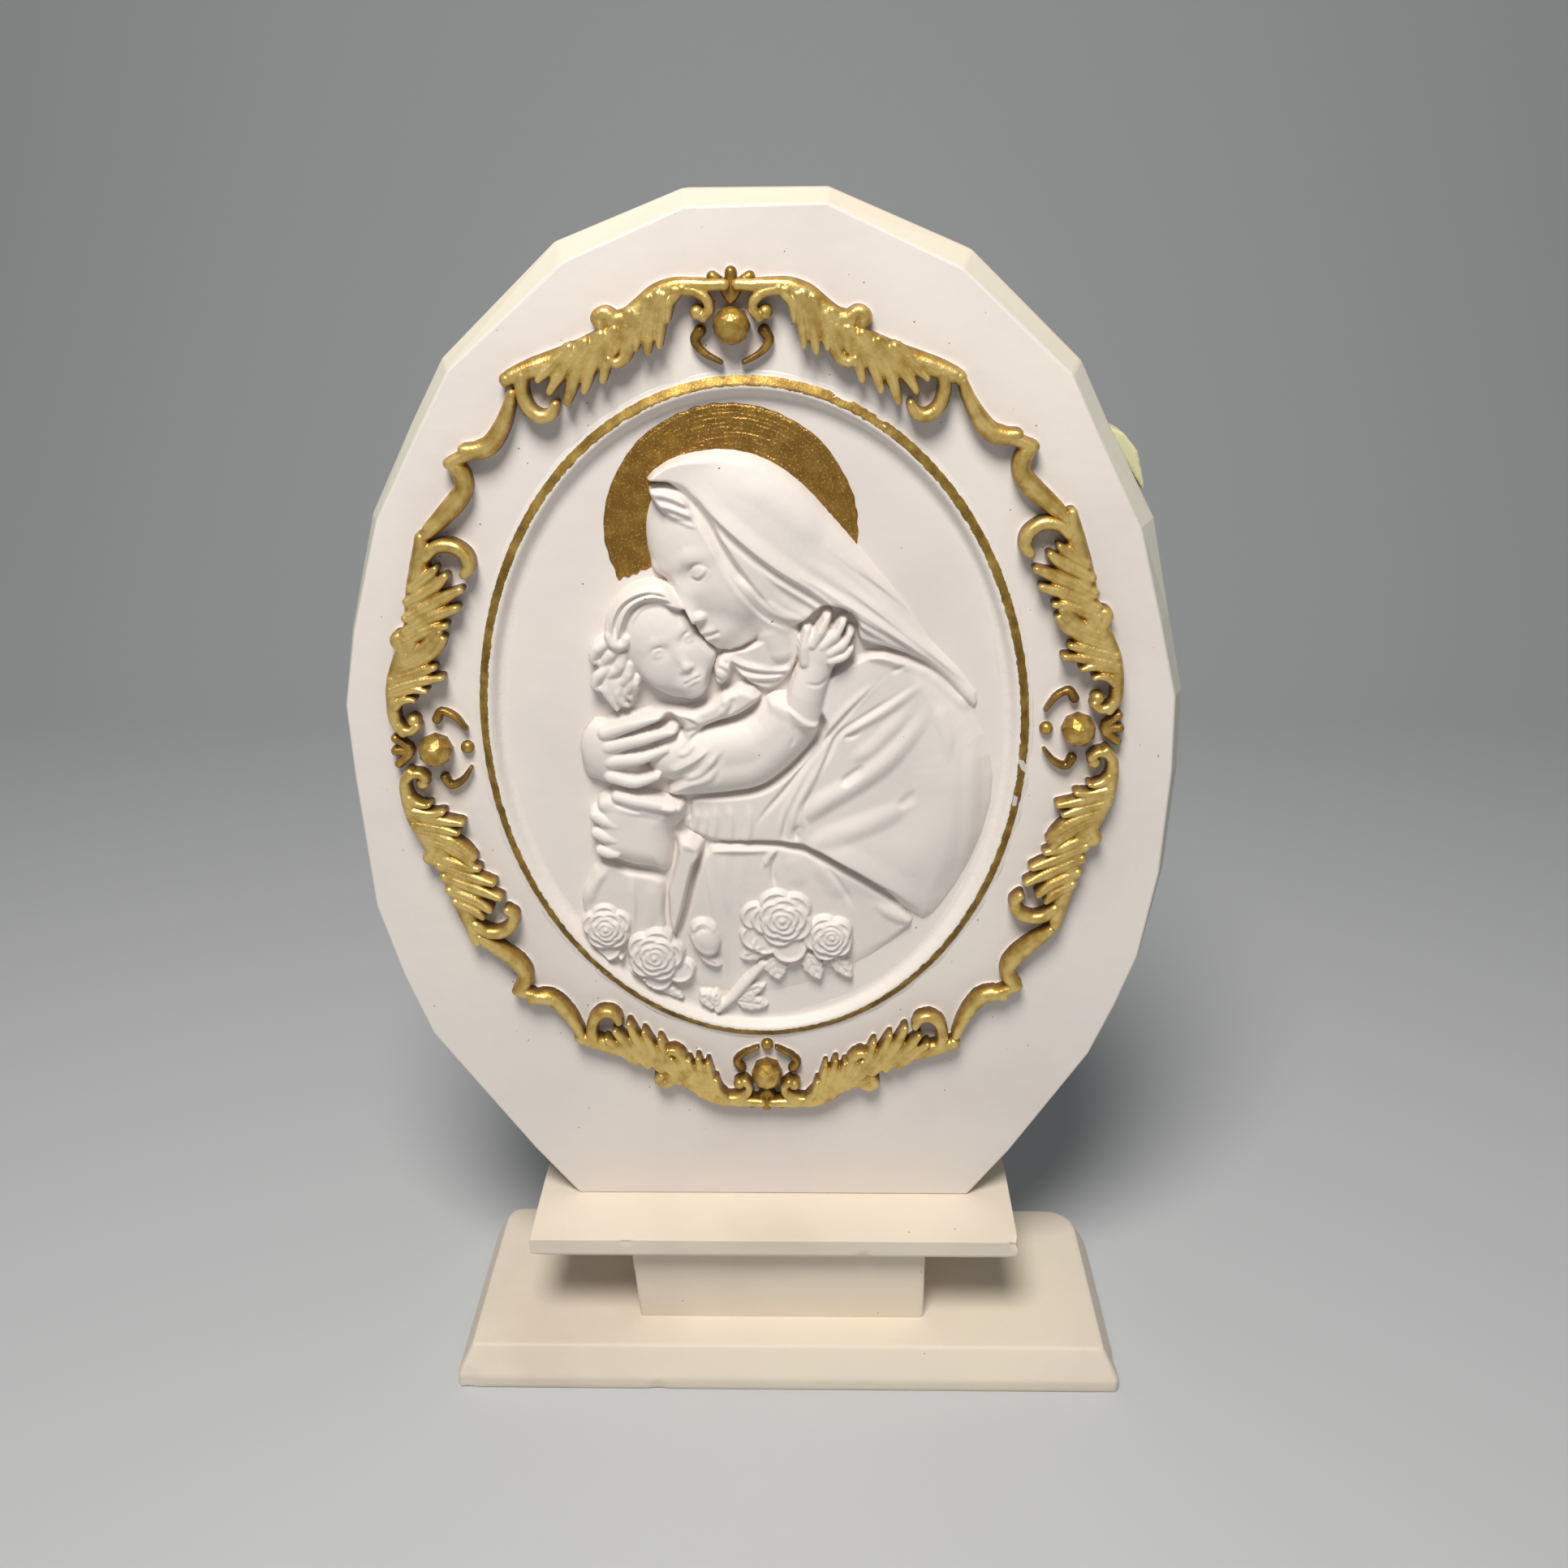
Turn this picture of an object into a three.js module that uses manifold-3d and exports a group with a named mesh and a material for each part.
// A table-top devotional plaque of cast gypsum plaster: a faceted slab that stands on a stepped foot,
// with an oval medallion in low relief (a mother and a child) inside a gilt rim and a gilt rocaille frame.
// Millimetres. +Z is up, the front faces -Y, the origin is the middle of the underside.
import * as THREE from "three";
import { mergeVertices } from "three/addons/utils/BufferGeometryUtils.js";
import Module from "manifold-3d";

const wasm = await Module();
wasm.setup();

// ---- driving dimensions ----
const TOTAL_HEIGHT = 220;
const SLAB_HALF_WIDTH = 73.9;
const SLAB_FACE_Y = -2.4; // the flat front of the slab
const SLAB_BEVEL = 3.9; // how far the front facets run back
const SLAB_BACK_Y = 13.6;
const SLAB_BACK_EDGE = 1.6; // the small arris round the back

const FOOT_X = 3.5; // the hand-assembled foot sits a little to the right
const FOOT_WIDTH = 131.1;
const FOOT_DEPTH = 46.7;
const FOOT_LIP = 2.8;
const FOOT_INSET = 3.1;
const FOOT_TOP = 8.64;
const NECK_HALF_DEPTH = 12.4;
const NECK_TOP = 25.9;
const SHELF_HALF_DEPTH = 16.5;
const SHELF_BAND = 28; // the cove under the shelf ends here
const SHELF_COVE = 2.1;
const SHELF_TOP = 31.5;

const MEDALLION_X = -1.5;
const MEDALLION_Z = 131;
const MEDALLION_TILT = 1.7; // degrees, anticlockwise from the front
const OVAL_HALF_WIDTH = 48.4;
const OVAL_HALF_HEIGHT = 62;
const RECESS_Y = 0.6; // floor of the oval recess in the slab
const GROUND_Y = -1.4; // the smooth ground behind the figures
const RIM_CREST = 1.3; // how far the rim stands off the slab
const RIM_OUTER_SLOPE = 1.6;
const RIM_FLAT = 0.3;
const RIM_INNER_SLOPE = 1.4;
const GAP = 0.3; // joint left between neighbouring pieces
const FRAME_RISE = 3.9; // how far the gilt frame stands off the slab
const DEGREE = Math.PI / 180;

// ---- materials ----
function finish(color, roughness, metalness = 0) {
  return new THREE.MeshStandardMaterial({ color, roughness, metalness });
}
const PLASTER = finish(0xe8e0d9, 0.7);
const BASE_PLASTER = finish(0xe6dac9, 0.72);
const GILT = finish(0xa8873f, 0.35, 0.85);
const GILT_WASH = finish(0x8f6b2b, 0.5, 0.7);

// ---- geometry helpers ----
const vector = ([x, y]) => new THREE.Vector2(x, y);

// A closed solid through stacked outlines with one number of points, wound anticlockwise.
function loft(layers) {
  const count = layers[0].points.length;
  const position = layers.flatMap(({ points, depth }) => points.flatMap((p) => [p.x, p.y, depth]));
  const index = [];
  for (let start = 0; start < (layers.length - 1) * count; start += count) {
    for (let i = 0; i < count; i++) {
      const a = start + i;
      const b = start + ((i + 1) % count);
      index.push(a, b, b + count, a, b + count, a + count);
    }
  }
  const last = (layers.length - 1) * count;
  for (const [a, b, c] of THREE.ShapeUtils.triangulateShape(layers[0].points, [])) {
    index.push(a, c, b);
  }
  for (const [a, b, c] of THREE.ShapeUtils.triangulateShape(layers.at(-1).points, [])) {
    index.push(last + a, last + b, last + c);
  }
  const geometry = new THREE.BufferGeometry();
  geometry.setAttribute("position", new THREE.Float32BufferAttribute(position, 3));
  geometry.setIndex(index);
  return geometry;
}

// Moves each corner of an anticlockwise outline inwards by its own distance.
function inset(points, distances) {
  return points.map((point, i) => {
    const before = points.at(i - 1);
    const after = points[(i + 1) % points.length];
    const along = after.clone().sub(before).normalize();
    return new THREE.Vector2(point.x - along.y * distances[i], point.y + along.x * distances[i]);
  });
}

// A rectangle with one radius per corner, from the front right corner anticlockwise.
function roundedPlate(centreX, width, depth, radii) {
  const corners = [[1, -1], [1, 1], [-1, 1], [-1, -1]];
  const steps = 4;
  return corners.flatMap(([sideX, sideY], corner) => {
    const radius = radii[corner];
    const x = centreX + sideX * (width / 2 - radius);
    const y = sideY * (depth / 2 - radius);
    return Array.from({ length: steps + 1 }, (_, step) => {
      const angle = (corner - 1 + step / steps) * (Math.PI / 2);
      return new THREE.Vector2(x + radius * Math.cos(angle), y + radius * Math.sin(angle));
    });
  });
}

function ellipse(halfWidth, halfHeight, steps) {
  return Array.from({ length: steps }, (_, i) => {
    const angle = (i / steps) * 2 * Math.PI;
    return new THREE.Vector2(halfWidth * Math.cos(angle), halfHeight * Math.sin(angle));
  });
}

// A rounded closed outline through a few hand-set points.
function rounded(points, perPoint = 2) {
  const nodes = points.map(([x, y]) => new THREE.Vector3(x, y, 0));
  const curve = new THREE.CatmullRomCurve3(nodes, true, "centripetal");
  const samples = curve.getPoints(points.length * perPoint).slice(0, -1);
  return samples.map((p) => new THREE.Vector2(p.x, p.y));
}

// Turns a shape drawn from the front (x right, y up) to stand upright, its depth running to the front.
function standing(geometry, backY) {
  return geometry.rotateX(Math.PI / 2).translate(0, backY, 0);
}

function slice(outline, backY, rise) {
  const shape = new THREE.Shape(outline);
  return standing(new THREE.ExtrudeGeometry(shape, { depth: rise, bevelEnabled: false }), backY);
}

function solid(geometry) {
  const bare = new THREE.BufferGeometry().setAttribute("position", geometry.getAttribute("position"));
  if (geometry.index) bare.setIndex(geometry.index);
  const merged = mergeVertices(bare, 1e-4);
  const vertProperties = new Float32Array(merged.attributes.position.array);
  const triVerts = new Uint32Array(merged.index.array);
  return new wasm.Manifold(new wasm.Mesh({ numProp: 3, vertProperties, triVerts }));
}

function fromSolid(body) {
  const mesh = body.getMesh();
  const geometry = new THREE.BufferGeometry();
  geometry.setAttribute("position", new THREE.BufferAttribute(mesh.vertProperties, mesh.numProp));
  geometry.setIndex(new THREE.BufferAttribute(mesh.triVerts, 1));
  return geometry;
}

function piece(parent, name, geometry, material) {
  const mesh = new THREE.Mesh(geometry, material);
  mesh.name = name;
  parent.add(mesh);
  return mesh;
}

const plaque = new THREE.Group();

// ---- the stepped foot ----
function footPlate() {
  const radii = [1.2, 7, 4.5, 1.2];
  const topRadii = radii.map((radius) => Math.max(radius - FOOT_INSET / 2, 0.6));
  const full = roundedPlate(FOOT_X, FOOT_WIDTH, FOOT_DEPTH, radii);
  const topWidth = FOOT_WIDTH - 2 * FOOT_INSET;
  const top = roundedPlate(FOOT_X, topWidth, FOOT_DEPTH - 2 * FOOT_INSET, topRadii);
  return loft([
    { points: full, depth: 0 },
    { points: full, depth: FOOT_LIP },
    { points: top, depth: FOOT_TOP },
  ]);
}

function box2d(left, right, halfDepth) {
  return [[right, -halfDepth], [right, halfDepth], [left, halfDepth], [left, -halfDepth]].map(vector);
}

function neckBlock() {
  return loft([
    { points: box2d(-26.2, 31.1, NECK_HALF_DEPTH), depth: FOOT_TOP },
    { points: box2d(-27.4, 31, NECK_HALF_DEPTH), depth: NECK_TOP },
  ]);
}

function shelfPlate() {
  const left = -46.6;
  const right = 48.5;
  const under = box2d(left + SHELF_COVE, right - SHELF_COVE, SHELF_HALF_DEPTH - SHELF_COVE);
  const band = box2d(left, right, SHELF_HALF_DEPTH);
  return loft([
    { points: under, depth: NECK_TOP },
    { points: band, depth: SHELF_BAND },
    { points: band, depth: SHELF_TOP },
  ]);
}

piece(plaque, "base_plate", footPlate(), BASE_PLASTER);
piece(plaque, "neck_block", neckBlock(), BASE_PLASTER);
piece(plaque, "shelf_plate", shelfPlate(), BASE_PLASTER);

// ---- the slab ----
// Corners of the hand-trimmed silhouette, each with the width of its front facet.
const SLAB_CORNERS = [
  [40, SHELF_TOP, 0.5], [48.2, 41.6, 0.8], [62.8, 64.6, 1.2], [67.2, 75.5, 1.4], [70.8, 86.5, 1.5],
  [73.3, 104, 1.6], [SLAB_HALF_WIDTH, 124, 1.8], [73.3, 138.5, 2], [69.8, 152, 2.2], [65.7, 168.6, 3],
  [56.6, 184.7, 2.6], [51.8, 194, 2.6], [33.6, 210.8, 3], [11.3, TOTAL_HEIGHT, 2.2],
  [-11.3, TOTAL_HEIGHT, 2.6], [-31.6, 212.4, 3.2], [-51, 195, 2.2], [-57.2, 184.5, 2], [-65.2, 170, 1.6],
  [-71.2, 150, 1.2], [-SLAB_HALF_WIDTH, 137, 1], [-SLAB_HALF_WIDTH, 124, 0.9], [-73.2, 97, 0.9],
  [-69.7, 82, 0.9], [-65.4, 69, 0.9], [-47.5, 42, 0.8], [-38.8, SHELF_TOP, 0.5],
];

const medallionPlace = new THREE.Matrix4()
  .makeTranslation(MEDALLION_X, 0, MEDALLION_Z)
  .multiply(new THREE.Matrix4().makeRotationY(-MEDALLION_TILT * DEGREE));

function slab() {
  const edge = SLAB_CORNERS.map(vector);
  const face = inset(edge, SLAB_CORNERS.map((corner) => corner[2]));
  const back = inset(edge, edge.map(() => 1));
  const thickness = SLAB_BACK_Y - SLAB_FACE_Y;
  const body = standing(
    loft([
      { points: back, depth: 0 },
      { points: edge, depth: SLAB_BACK_EDGE },
      { points: edge, depth: thickness - SLAB_BEVEL },
      { points: face, depth: thickness },
    ]),
    SLAB_BACK_Y,
  );
  const recess = slice(ellipse(OVAL_HALF_WIDTH, OVAL_HALF_HEIGHT, 48), RECESS_Y, 10);
  recess.applyMatrix4(medallionPlace);
  return fromSolid(solid(body).subtract(solid(recess)));
}

// Plaster that ran out of the mould, left on the slab's right edge.
function castingFlash() {
  const outline = [[57.6, 184], [61.3, 177.5], [63.9, 172.9], [63.6, 175.2], [62.6, 179.6], [60.6, 182.4]];
  return slice(outline.map(vector), 10, 7);
}

piece(plaque, "plaque_slab", slab(), PLASTER);
piece(plaque, "casting_flash", castingFlash(), PLASTER);

// ---- the oval medallion ----
const medallion = new THREE.Group();
medallion.applyMatrix4(medallionPlace);
plaque.add(medallion);

// The rim's section, as distance in from the oval and place in depth, swept round the oval.
function rim() {
  const crestY = SLAB_FACE_Y - RIM_CREST;
  const floorY = RECESS_Y - GAP;
  const inner = RIM_OUTER_SLOPE + RIM_FLAT + RIM_INNER_SLOPE;
  const section = [
    [0, floorY],
    [0, SLAB_FACE_Y - GAP],
    [RIM_OUTER_SLOPE, crestY],
    [RIM_OUTER_SLOPE + RIM_FLAT, crestY],
    [inner, GROUND_Y],
    [inner, floorY],
  ];
  const steps = 48;
  const rows = section.map(([inwards]) =>
    ellipse(OVAL_HALF_WIDTH - GAP - inwards, OVAL_HALF_HEIGHT - GAP - inwards, steps),
  );
  const position = rows.flatMap((row, k) => row.flatMap((p) => [p.x, section[k][1], p.y]));
  const index = [];
  for (let k = 0; k < section.length; k++) {
    const next = (k + 1) % section.length;
    for (let i = 0; i < steps; i++) {
      const j = (i + 1) % steps;
      index.push(k * steps + i, k * steps + j, next * steps + j);
      index.push(k * steps + i, next * steps + j, next * steps + i);
    }
  }
  const geometry = new THREE.BufferGeometry();
  geometry.setAttribute("position", new THREE.Float32BufferAttribute(position, 3));
  geometry.setIndex(index);
  return geometry;
}

const innerRim = 2 * GAP + RIM_OUTER_SLOPE + RIM_FLAT + RIM_INNER_SLOPE;
const ground = ellipse(OVAL_HALF_WIDTH - innerRim, OVAL_HALF_HEIGHT - innerRim, 48);
piece(medallion, "medallion_ground", slice(ground, RECESS_Y - GAP, RECESS_Y - GAP - GROUND_Y), PLASTER);
piece(medallion, "medallion_rim", rim(), GILT_WASH);

// The painted halo: a crescent between a circle and the edge of the veil.
function halo() {
  const centre = [-2.3, 36];
  const radius = 21.2;
  const steps = 18;
  const start = -6 * DEGREE;
  const end = 200 * DEGREE;
  const outer = Array.from({ length: steps + 1 }, (_, i) => {
    const angle = start + ((end - start) * i) / steps;
    return [centre[0] + radius * Math.cos(angle), centre[1] + radius * Math.sin(angle)];
  });
  const veilSide = [
    [-17, 29.8], [-17.6, 33.5], [-17.9, 39], [-17.1, 43.4], [-15.6, 46.6], [-12, 48.9], [-7, 50.3],
    [-1, 50.5], [5, 48.5], [10.1, 44.8], [15.2, 39.3],
  ];
  return slice([...outer, ...veilSide].map(vector), GROUND_Y - GAP, 0.5);
}

piece(medallion, "halo", halo(), GILT_WASH);

// Each figure piece: its outline on the ground of the medallion and how far it stands off.
const FIGURES = {
  mother_veil: {
    rise: 2.6,
    outline: [
      [-15.4, 45.6], [-12, 48.2], [-7, 49.6], [-1, 49.8], [4.7, 47.8], [9.7, 44.1], [14.7, 38.7],
      [19.5, 32.8],
      [25.5, 24.8], [31.3, 16.5], [39, 7], [38.6, 3.8], [34, 9], [30, 12.7], [23, 15.8], [18.7, 17.6],
      [18.6, 20.2], [17.2, 22.4], [14.2, 23.6], [12.2, 23.4], [10.2, 21.6], [8.6, 20.6], [6, 21.8],
      [3.2, 24.8], [-0.6, 30], [-3.9, 35.6], [-7.2, 41.9], [-12.2, 45.4],
    ],
  },
  mother_head: {
    rise: 5,
    outline: [
      [-12.6, 44.6], [-8, 41.3], [-4.8, 35], [-1.5, 29.5], [2.2, 24.2], [1.6, 19.6], [-1.5, 17.2],
      [-5.3, 16.9],
      [-8.1, 19.8], [-9.7, 23], [-11.8, 27], [-13.4, 29.4], [-16, 31.5], [-17, 35.5], [-16.8, 39.5],
      [-15.4, 43],
    ],
  },
  mother_collar: {
    rise: 2.2,
    outline: [
      [-4.6, 15.6], [-0.9, 16.2], [2.5, 17.8], [6, 20.6], [8.4, 19.2], [8.4, 15.4], [6.8, 11.9], [3.4, 8.8],
      [0, 10], [-2.8, 12.9],
    ],
  },
  mother_bodice: {
    rise: 2.4,
    outline: [
      [12.5, 9.9], [15.6, 12.2], [18.4, 13.8], [23, 14.9], [30, 11.8], [34, 8], [38.3, 2.9], [41.5, -5],
      [41.8, -14], [38, -26], [33.5, -34], [29.5, -37.6], [22, -30], [14, -24.4], [7.5, -20.8], [0, -20.1],
      [-9, -19.9], [-9.8, -19.1], [-13.8, -17.2], [-12.3, -15], [-11.8, -12], [-8, -11.6], [-1.3, -10.9],
      [2, -9.8], [5.8, -7.1], [9.8, -2.9], [11.8, -0.2], [12.6, 2.4], [11.6, 4.6], [10.7, 6.4], [11.3, 8],
    ],
  },
  mother_skirt: {
    rise: 1.3,
    outline: [
      [-29.2, -23.5], [-31.5, -27], [-33.2, -31], [-32.6, -36], [-30, -41], [-23, -47], [-14, -51.6],
      [-4, -53.6],
      [4, -52.8], [12, -50], [20, -45.5], [26, -39.8], [27.6, -37.4], [21.4, -31.2], [13.4, -25.5],
      [7, -22],
      [0, -21.3], [-8.6, -21.2], [-11, -24.2], [-12.8, -30.2], [-14.6, -36], [-16.7, -40.2], [-18.3, -39.6],
      [-18.1, -30.2], [-18, -27.6], [-20.4, -26.4], [-24.4, -25.5],
    ],
  },
  sleeve_hem: {
    rise: 2.8,
    outline: [
      [-14.5, -18.4], [-10.3, -20.2], [-12.2, -24.2], [-13.9, -30.2], [-15.6, -36], [-16.9, -38.8],
      [-17.1, -30], [-16.2, -26.8], [-14.8, -21.6],
    ],
  },
  mother_upper_hand: {
    rise: 4.2,
    outline: [
      [-26.8, 3], [-24, 5.1], [-20, 5.4], [-15.8, 5.2], [-15.4, 4.3], [-18, 2.6], [-13.8, 2.4],
      [-13.5, 1.5],
      [-17, 0], [-15.5, -0.8], [-15.6, -2], [-20, -4.7], [-17.2, -5.7], [-17.2, -6.9], [-20.5, -8.4],
      [-24.5, -8], [-28, -7.4], [-29.9, -6.8], [-30.8, -3.5], [-29.3, 0],
    ],
  },
  mother_lower_hand: {
    rise: 4.4,
    outline: [
      [-28.2, -10.8], [-25.3, -9.3], [-21, -9.9], [-17, -11.5], [-12.9, -12.2], [-13.3, -15],
      [-15.4, -17.4],
      [-15.8, -21.5], [-17.2, -26.2], [-19.7, -25], [-22.5, -24.6], [-26, -23.2], [-28.5, -21.8],
      [-29.3, -18.5], [-29.3, -14],
    ],
  },
  child_head: {
    rise: 5.4,
    outline: [
      [-20.5, 26.5], [-17, 28.4], [-13.7, 28], [-12.7, 26], [-10.8, 22.5], [-9.3, 19.2],
      [-6.8, 16.5], [-3.8, 12.8],
      [-4, 10.8], [-6.2, 10.2], [-7.6, 8.4], [-10.5, 7], [-15, 7.2], [-18.6, 8.9], [-20.8, 7.6], [-23.6, 6],
      [-25.4, 8], [-27.2, 12], [-27, 16.5], [-24.8, 19.3], [-24, 23],
    ],
  },
  child_body: {
    rise: 3.4,
    outline: [
      [-18.8, 7], [-15, 6], [-10.5, 5.8], [-7, 7.2], [-5, 8.9], [-3, 9.4], [-1.6, 9.9], [1.5, 7.8],
      [-0.9, 5.4],
      [-3.4, 4.1], [-8.8, 2.3], [-12.2, -2.6], [-15, -6.2], [-16.2, -5], [-14.7, -2.4], [-14.4, -0.6],
      [-12.5, 0.9], [-12.6, 2.9], [-14.4, 5],
    ],
  },
  child_arm: {
    rise: 5.2,
    outline: [
      [-8.2, 1.4], [-3, 3.2], [0, 4.6], [2.7, 7.5], [5, 8.2], [8, 6.7], [10.7, 3.9], [11.6, 2.2], [10.8, 0],
      [9, -2.5], [5, -6.5], [1.5, -9], [-1.5, -10], [-8, -10.7], [-12.2, -10.9], [-16, -10.5],
      [-14.6, -7.2],
      [-11.5, -3],
    ],
  },
  child_hand: {
    rise: 5,
    outline: [
      [5.9, 9], [8, 11.7], [9.2, 15], [9.8, 18], [9.4, 19.8], [10.9, 20.5], [12.8, 22.2],
      [14.2, 22.2], [16.4, 21.2],
      [17.4, 19], [17.6, 16.6], [17.4, 14.6], [15, 12.8], [12, 10.4], [10.3, 7.6], [9.2, 7.2], [8.2, 7.7],
    ],
  },
};

const figureFoot = GROUND_Y - GAP;
for (const [name, { outline, rise }] of Object.entries(FIGURES)) {
  piece(medallion, name, slice(rounded(outline), figureFoot, rise), PLASTER);
}

// Roses and leaves lie on the skirt.
const flowerFoot = figureFoot - FIGURES.mother_skirt.rise - GAP;
const ROSES = {
  rose_left: { at: [-28.9, -36.6], radius: 4.1, rise: 1.9 },
  rose_lower_left: { at: [-20.3, -42.8], radius: 4.8, rise: 2.4 },
  rose_centre: { at: [3.8, -35.4], radius: 5.2, rise: 2.8 },
  rose_right: { at: [12.4, -40.2], radius: 3.9, rise: 2.4 },
};
const PETALS = 5;
for (const [name, { at, radius, rise }] of Object.entries(ROSES)) {
  const flower = Array.from({ length: PETALS * 4 }, (_, i) => {
    const angle = (i / (PETALS * 4)) * 2 * Math.PI;
    const reach = radius * (0.94 + 0.06 * Math.cos(PETALS * angle));
    return new THREE.Vector2(at[0] + reach * Math.cos(angle), at[1] + reach * Math.sin(angle));
  });
  piece(medallion, name, slice(flower, flowerFoot, rise), PLASTER);
}

const GREENERY = {
  rose_bud: {
    rise: 2,
    outline: [
      [-13.9, -39], [-13.3, -36.5], [-11.2, -35.6], [-9.4, -36.8], [-8.6, -39], [-7.8, -42.2],
      [-8.9, -43.4],
      [-8.4, -45.6], [-9.6, -46.6], [-11.6, -45.2], [-12.2, -43.4], [-13.4, -41.8],
    ],
  },
  leaf_left: {
    rise: 0.9,
    outline: [
      [-26.4, -45.2], [-24.8, -46.4], [-22.8, -48], [-20.3, -48.8], [-17.6, -48.8], [-15.4, -50.2],
      [-14.9, -52.4],
      [-17, -52.6], [-19.8, -51.2], [-22.4, -49.3], [-24.8, -47.6],
    ],
  },
  leaf_stem: {
    rise: 1.1,
    outline: [
      [-1.6, -46.1], [-0.6, -47.1], [-3.2, -50.1], [-1.3, -50.6], [-0.3, -53], [0.2, -55], [-2.4, -56.2],
      [-5, -55.4], [-6.6, -54.4], [-8.2, -55.6], [-9.4, -56.1], [-10.8, -55.3], [-12.6, -53.6],
      [-11.8, -51.6],
      [-9.6, -51.6], [-8.9, -53], [-7.2, -52], [-4.6, -49],
    ],
  },
  leaf_fan: {
    rise: 1.1,
    outline: [
      [-3, -41.2], [-4.6, -43], [-4.2, -44.9], [-2, -45.2], [0, -45], [0.8, -48.4], [2.6, -49.6],
      [4.8, -48.4],
      [5.8, -45.6], [7.6, -47.4], [10, -49.8], [12, -48.4], [12.6, -47], [14.8, -49.4], [16.4, -49.6],
      [15.8, -47], [14.8, -45], [12.2, -44.8], [9.6, -44.2], [8, -42.6], [6.6, -41.2], [3.8, -41.3],
    ],
  },
};
for (const [name, { outline, rise }] of Object.entries(GREENERY)) {
  piece(medallion, name, slice(rounded(outline, 1), flowerFoot, rise), PLASTER);
}

// ---- the gilt rocaille frame ----
// One quarter of the frame, drawn for the upper right and mirrored to the other quarters.
const CREST_ARM = [
  [3.2, 75.4], [5.5, 76.2], [8.2, 76.2], [11, 75], [13.6, 72.9], [16.4, 71], [18.6, 70.7], [20.3, 71.5],
  [21.3, 70.3], [22, 68.8], [25, 67], [29, 65], [33, 63.4], [36, 61.8], [35.8, 60.4], [34.2, 60],
  [33.9, 57.8], [32.4, 55.3], [30.2, 54.4], [28.4, 55.2], [28.2, 56.9], [30.2, 56.5], [31.6, 57.9],
  [31.8, 60], [30.4, 61.2], [29, 60.2], [27.8, 61], [26.2, 58.6], [25, 61.2], [23.4, 60.4], [22.4, 63],
  [20.8, 62.2], [19.9, 64.6], [18.6, 63.1], [16.6, 63.3], [15.3, 65.6], [14.2, 65.4], [13.4, 67.2],
  [12, 66], [11.2, 69.4], [9.6, 71], [8.8, 73], [7, 74.1], [5, 73.9], [3.9, 72.6], [4.6, 71.3],
  [6, 71.6], [6.4, 70.3], [4.6, 69.9], [2.9, 71.2], [2.6, 73.2],
];
const SIDE_ARM = [
  [62.2, 3.2], [63.3, 6], [63.2, 9.6], [62.2, 13], [60.6, 16.4], [60, 18.2], [61, 19.8], [60.4, 21.6],
  [58.2, 21.8], [57.4, 25], [56.6, 29.4], [55.8, 33.6], [54.8, 36.6], [54.4, 38.6], [52.8, 38.9], [52, 37],
  [49.4, 37.4], [46.8, 36.8], [45.3, 35], [45.4, 32.6], [46.8, 31.2], [48, 32], [47.4, 33.8], [48.6, 35],
  [50.8, 34.4], [52, 32.6], [50.4, 32.2], [49.8, 30.8], [50.8, 29.4], [47.8, 29.4], [49, 27.4],
  [50.8, 26.6], [48.6, 25.6], [51, 24.4], [52.6, 23.8], [50.8, 22.8], [52.6, 21.6], [51, 20.6],
  [51.6, 18.8], [54.2, 16.9], [53.6, 15.4], [55.4, 14.6], [52.8, 13.6], [55.2, 12.8], [58, 12.6],
  [56.4, 11.4], [58.6, 11.2], [60.4, 10], [58.6, 9.6], [60.8, 8.2], [61.4, 6.2], [60.4, 5.2],
  [59.6, 6.8], [58.2, 6.4], [58, 4.8], [59.6, 3.6],
];
const CORNER_SCROLL = [
  [36.1, 57.9], [37.5, 57.7], [38.6, 55.8], [40.2, 53.4], [42.6, 52], [45, 51.8], [46.4, 50.8], [48, 49],
  [47.3, 47], [47.2, 45.4], [49.4, 43.2], [51.2, 41], [51.8, 40.1], [50.9, 39.2], [49.6, 39.6],
  [47.2, 40.8],
  [45, 42.8], [43.9, 44.8], [43.9, 46.8], [44.8, 48.6], [43.8, 49.4], [42, 49], [40, 49.4], [38, 51.5],
  [36.8, 54], [36, 56],
];
const CREST_CURL = [
  [5.6, 69], [6.2, 67.6], [5.4, 65.6], [3.6, 64.2], [1.5, 63.6], [3.2, 65.4], [4, 67], [3.2, 67.9],
  [3.8, 69.1],
];
const SIDE_CURL = [
  [56, 5.2], [56, 6.8], [54.6, 7.8], [52.6, 7.2], [51, 5.4], [50.4, 3.4], [51.6, 4.4], [53, 5.8],
  [54.4, 6.2],
  [54.9, 5.2],
];
const CREST_SHELL = [
  [0, 73.9], [1.6, 74.2], [1.9, 75.2], [2.6, 76.2], [1.5, 77.4], [0, 77.9], [-1.5, 77.4], [-2.6, 76.2],
  [-1.9, 75.2], [-1.6, 74.2],
];
const SIDE_SHELL = [
  [60.6, 0], [61, 1.4], [62.4, 1.9], [63.6, 1.2], [64, 0], [63.6, -1.2], [62.4, -1.9], [61, -1.4],
];

const frameFoot = SLAB_FACE_Y - GAP;
const GEM_RADIUS = 3;
const GEM_RISE = 4.8;

// Each cluster is pressed on by hand round its own gem, so each has a small turn of its own.
const CLUSTERS = {
  top: { gem: [-0.3, 69.3], turn: -1.8, flip: [1, 1], side: false },
  bottom: { gem: [-0.7, -69.3], turn: -2.5, flip: [1, -1], side: false, bead: [0, -63.4] },
  left: { gem: [-56.1, -0.2], turn: 0, flip: [-1, 1], side: true, bead: [-50.9, 0] },
  right: { gem: [56.3, 0.2], turn: 0, flip: [1, 1], side: true, bead: [50.9, 0] },
};

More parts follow.
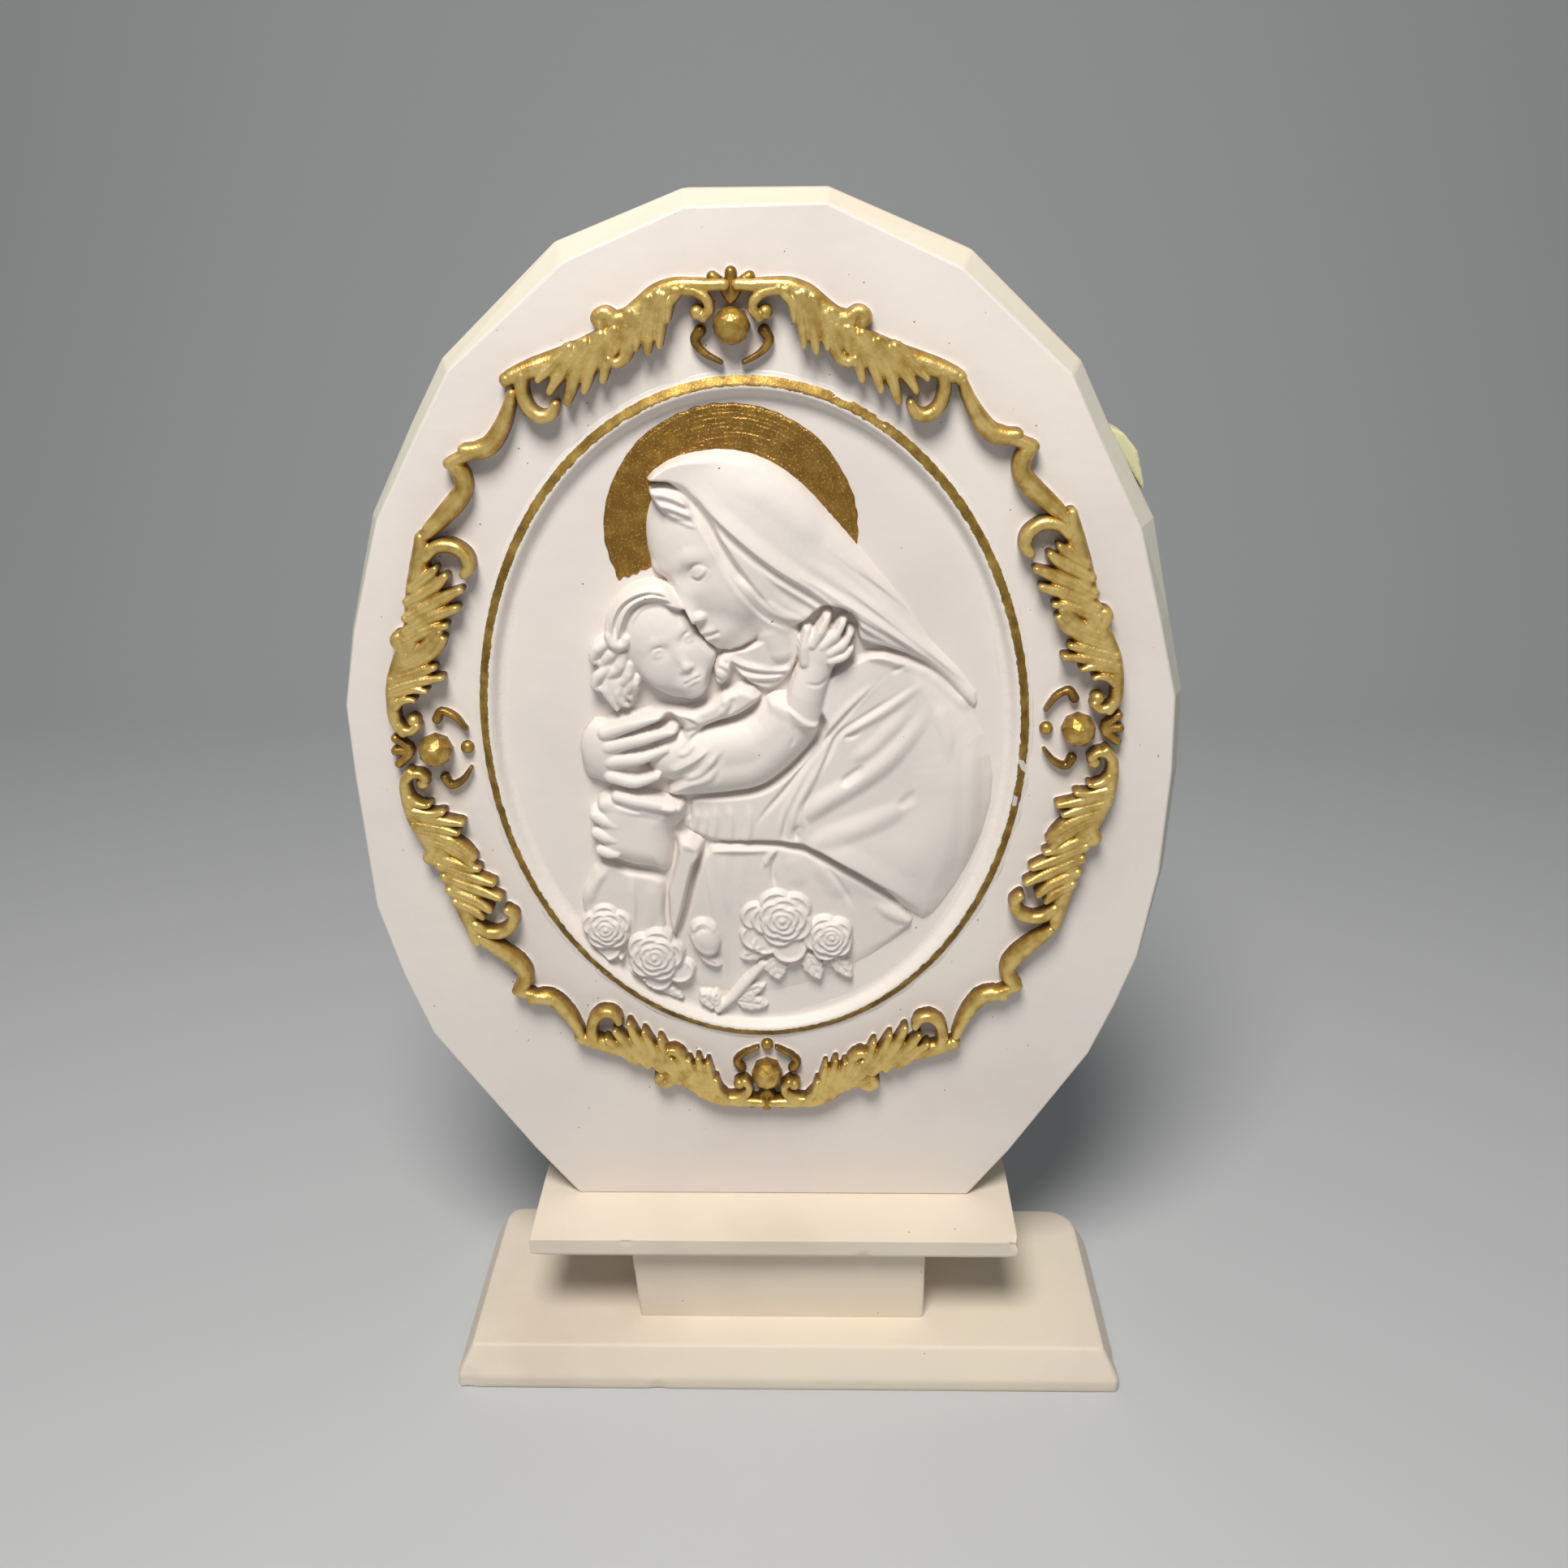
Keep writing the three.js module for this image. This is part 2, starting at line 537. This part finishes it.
function mirrored(points, flipX, flipY) {
  return points.map(([x, y]) => new THREE.Vector2(x * flipX, y * flipY));
}

// A faceted dome: flat table, two rows of facets and a short girdle.
function gem(radius, rise) {
  const girdle = [radius, 0.3 * rise];
  const shoulder = [0.8 * radius, 0.66 * rise];
  const table = [0.34 * radius, rise];
  const profile = [[0, 0], [radius, 0], girdle, shoulder, table, [0, rise]];
  return standing(new THREE.LatheGeometry(profile.map(vector), 8).rotateX(Math.PI / 2), 0);
}

for (const [place, { gem: at, turn, flip, side, bead }] of Object.entries(CLUSTERS)) {
  const drawn = side ? [56.3 * flip[0], 0] : [0, 69.3 * flip[1]];
  const cluster = new THREE.Group();
  cluster.position.set(at[0], frameFoot, at[1]);
  cluster.rotation.y = -turn * DEGREE;
  medallion.add(cluster);
  const add = (name, outline, rise) => {
    const geometry = slice(outline, 0, rise).translate(-drawn[0], 0, -drawn[1]);
    piece(cluster, name, geometry, GILT);
  };
  piece(cluster, `gem_${place}`, gem(GEM_RADIUS, GEM_RISE), GILT);
  add(`shell_${place}`, mirrored(side ? SIDE_SHELL : CREST_SHELL, ...flip), FRAME_RISE);
  if (bead) {
    const round = ellipse(1.2, 1.2, 10).map((p) => p.add(vector(bead)));
    add(`bead_${place}`, round, 1.6);
  }
  const sideHalves = { upper: [flip[0], 1], lower: [flip[0], -1] };
  const crestHalves = { left: [-1, flip[1]], right: [1, flip[1]] };
  const halves = side ? sideHalves : crestHalves;
  for (const [half, signs] of Object.entries(halves)) {
    add(`scroll_${place}_${half}`, mirrored(side ? SIDE_ARM : CREST_ARM, ...signs), FRAME_RISE);
    add(`curl_${place}_${half}`, mirrored(side ? SIDE_CURL : CREST_CURL, ...signs), 1.8);
  }
}

const CORNERS = {
  upper_left: [-1, 1, 0.3],
  upper_right: [1, 1, -0.3],
  lower_left: [-1, -1, 0.3],
  lower_right: [1, -1, -1.2],
};
for (const [corner, [flipX, flipY, lift]] of Object.entries(CORNERS)) {
  const geometry = slice(mirrored(CORNER_SCROLL, flipX, flipY), frameFoot, FRAME_RISE - 0.5);
  piece(medallion, `corner_scroll_${corner}`, geometry.translate(0, 0, lift), GILT);
}

export default plaque;
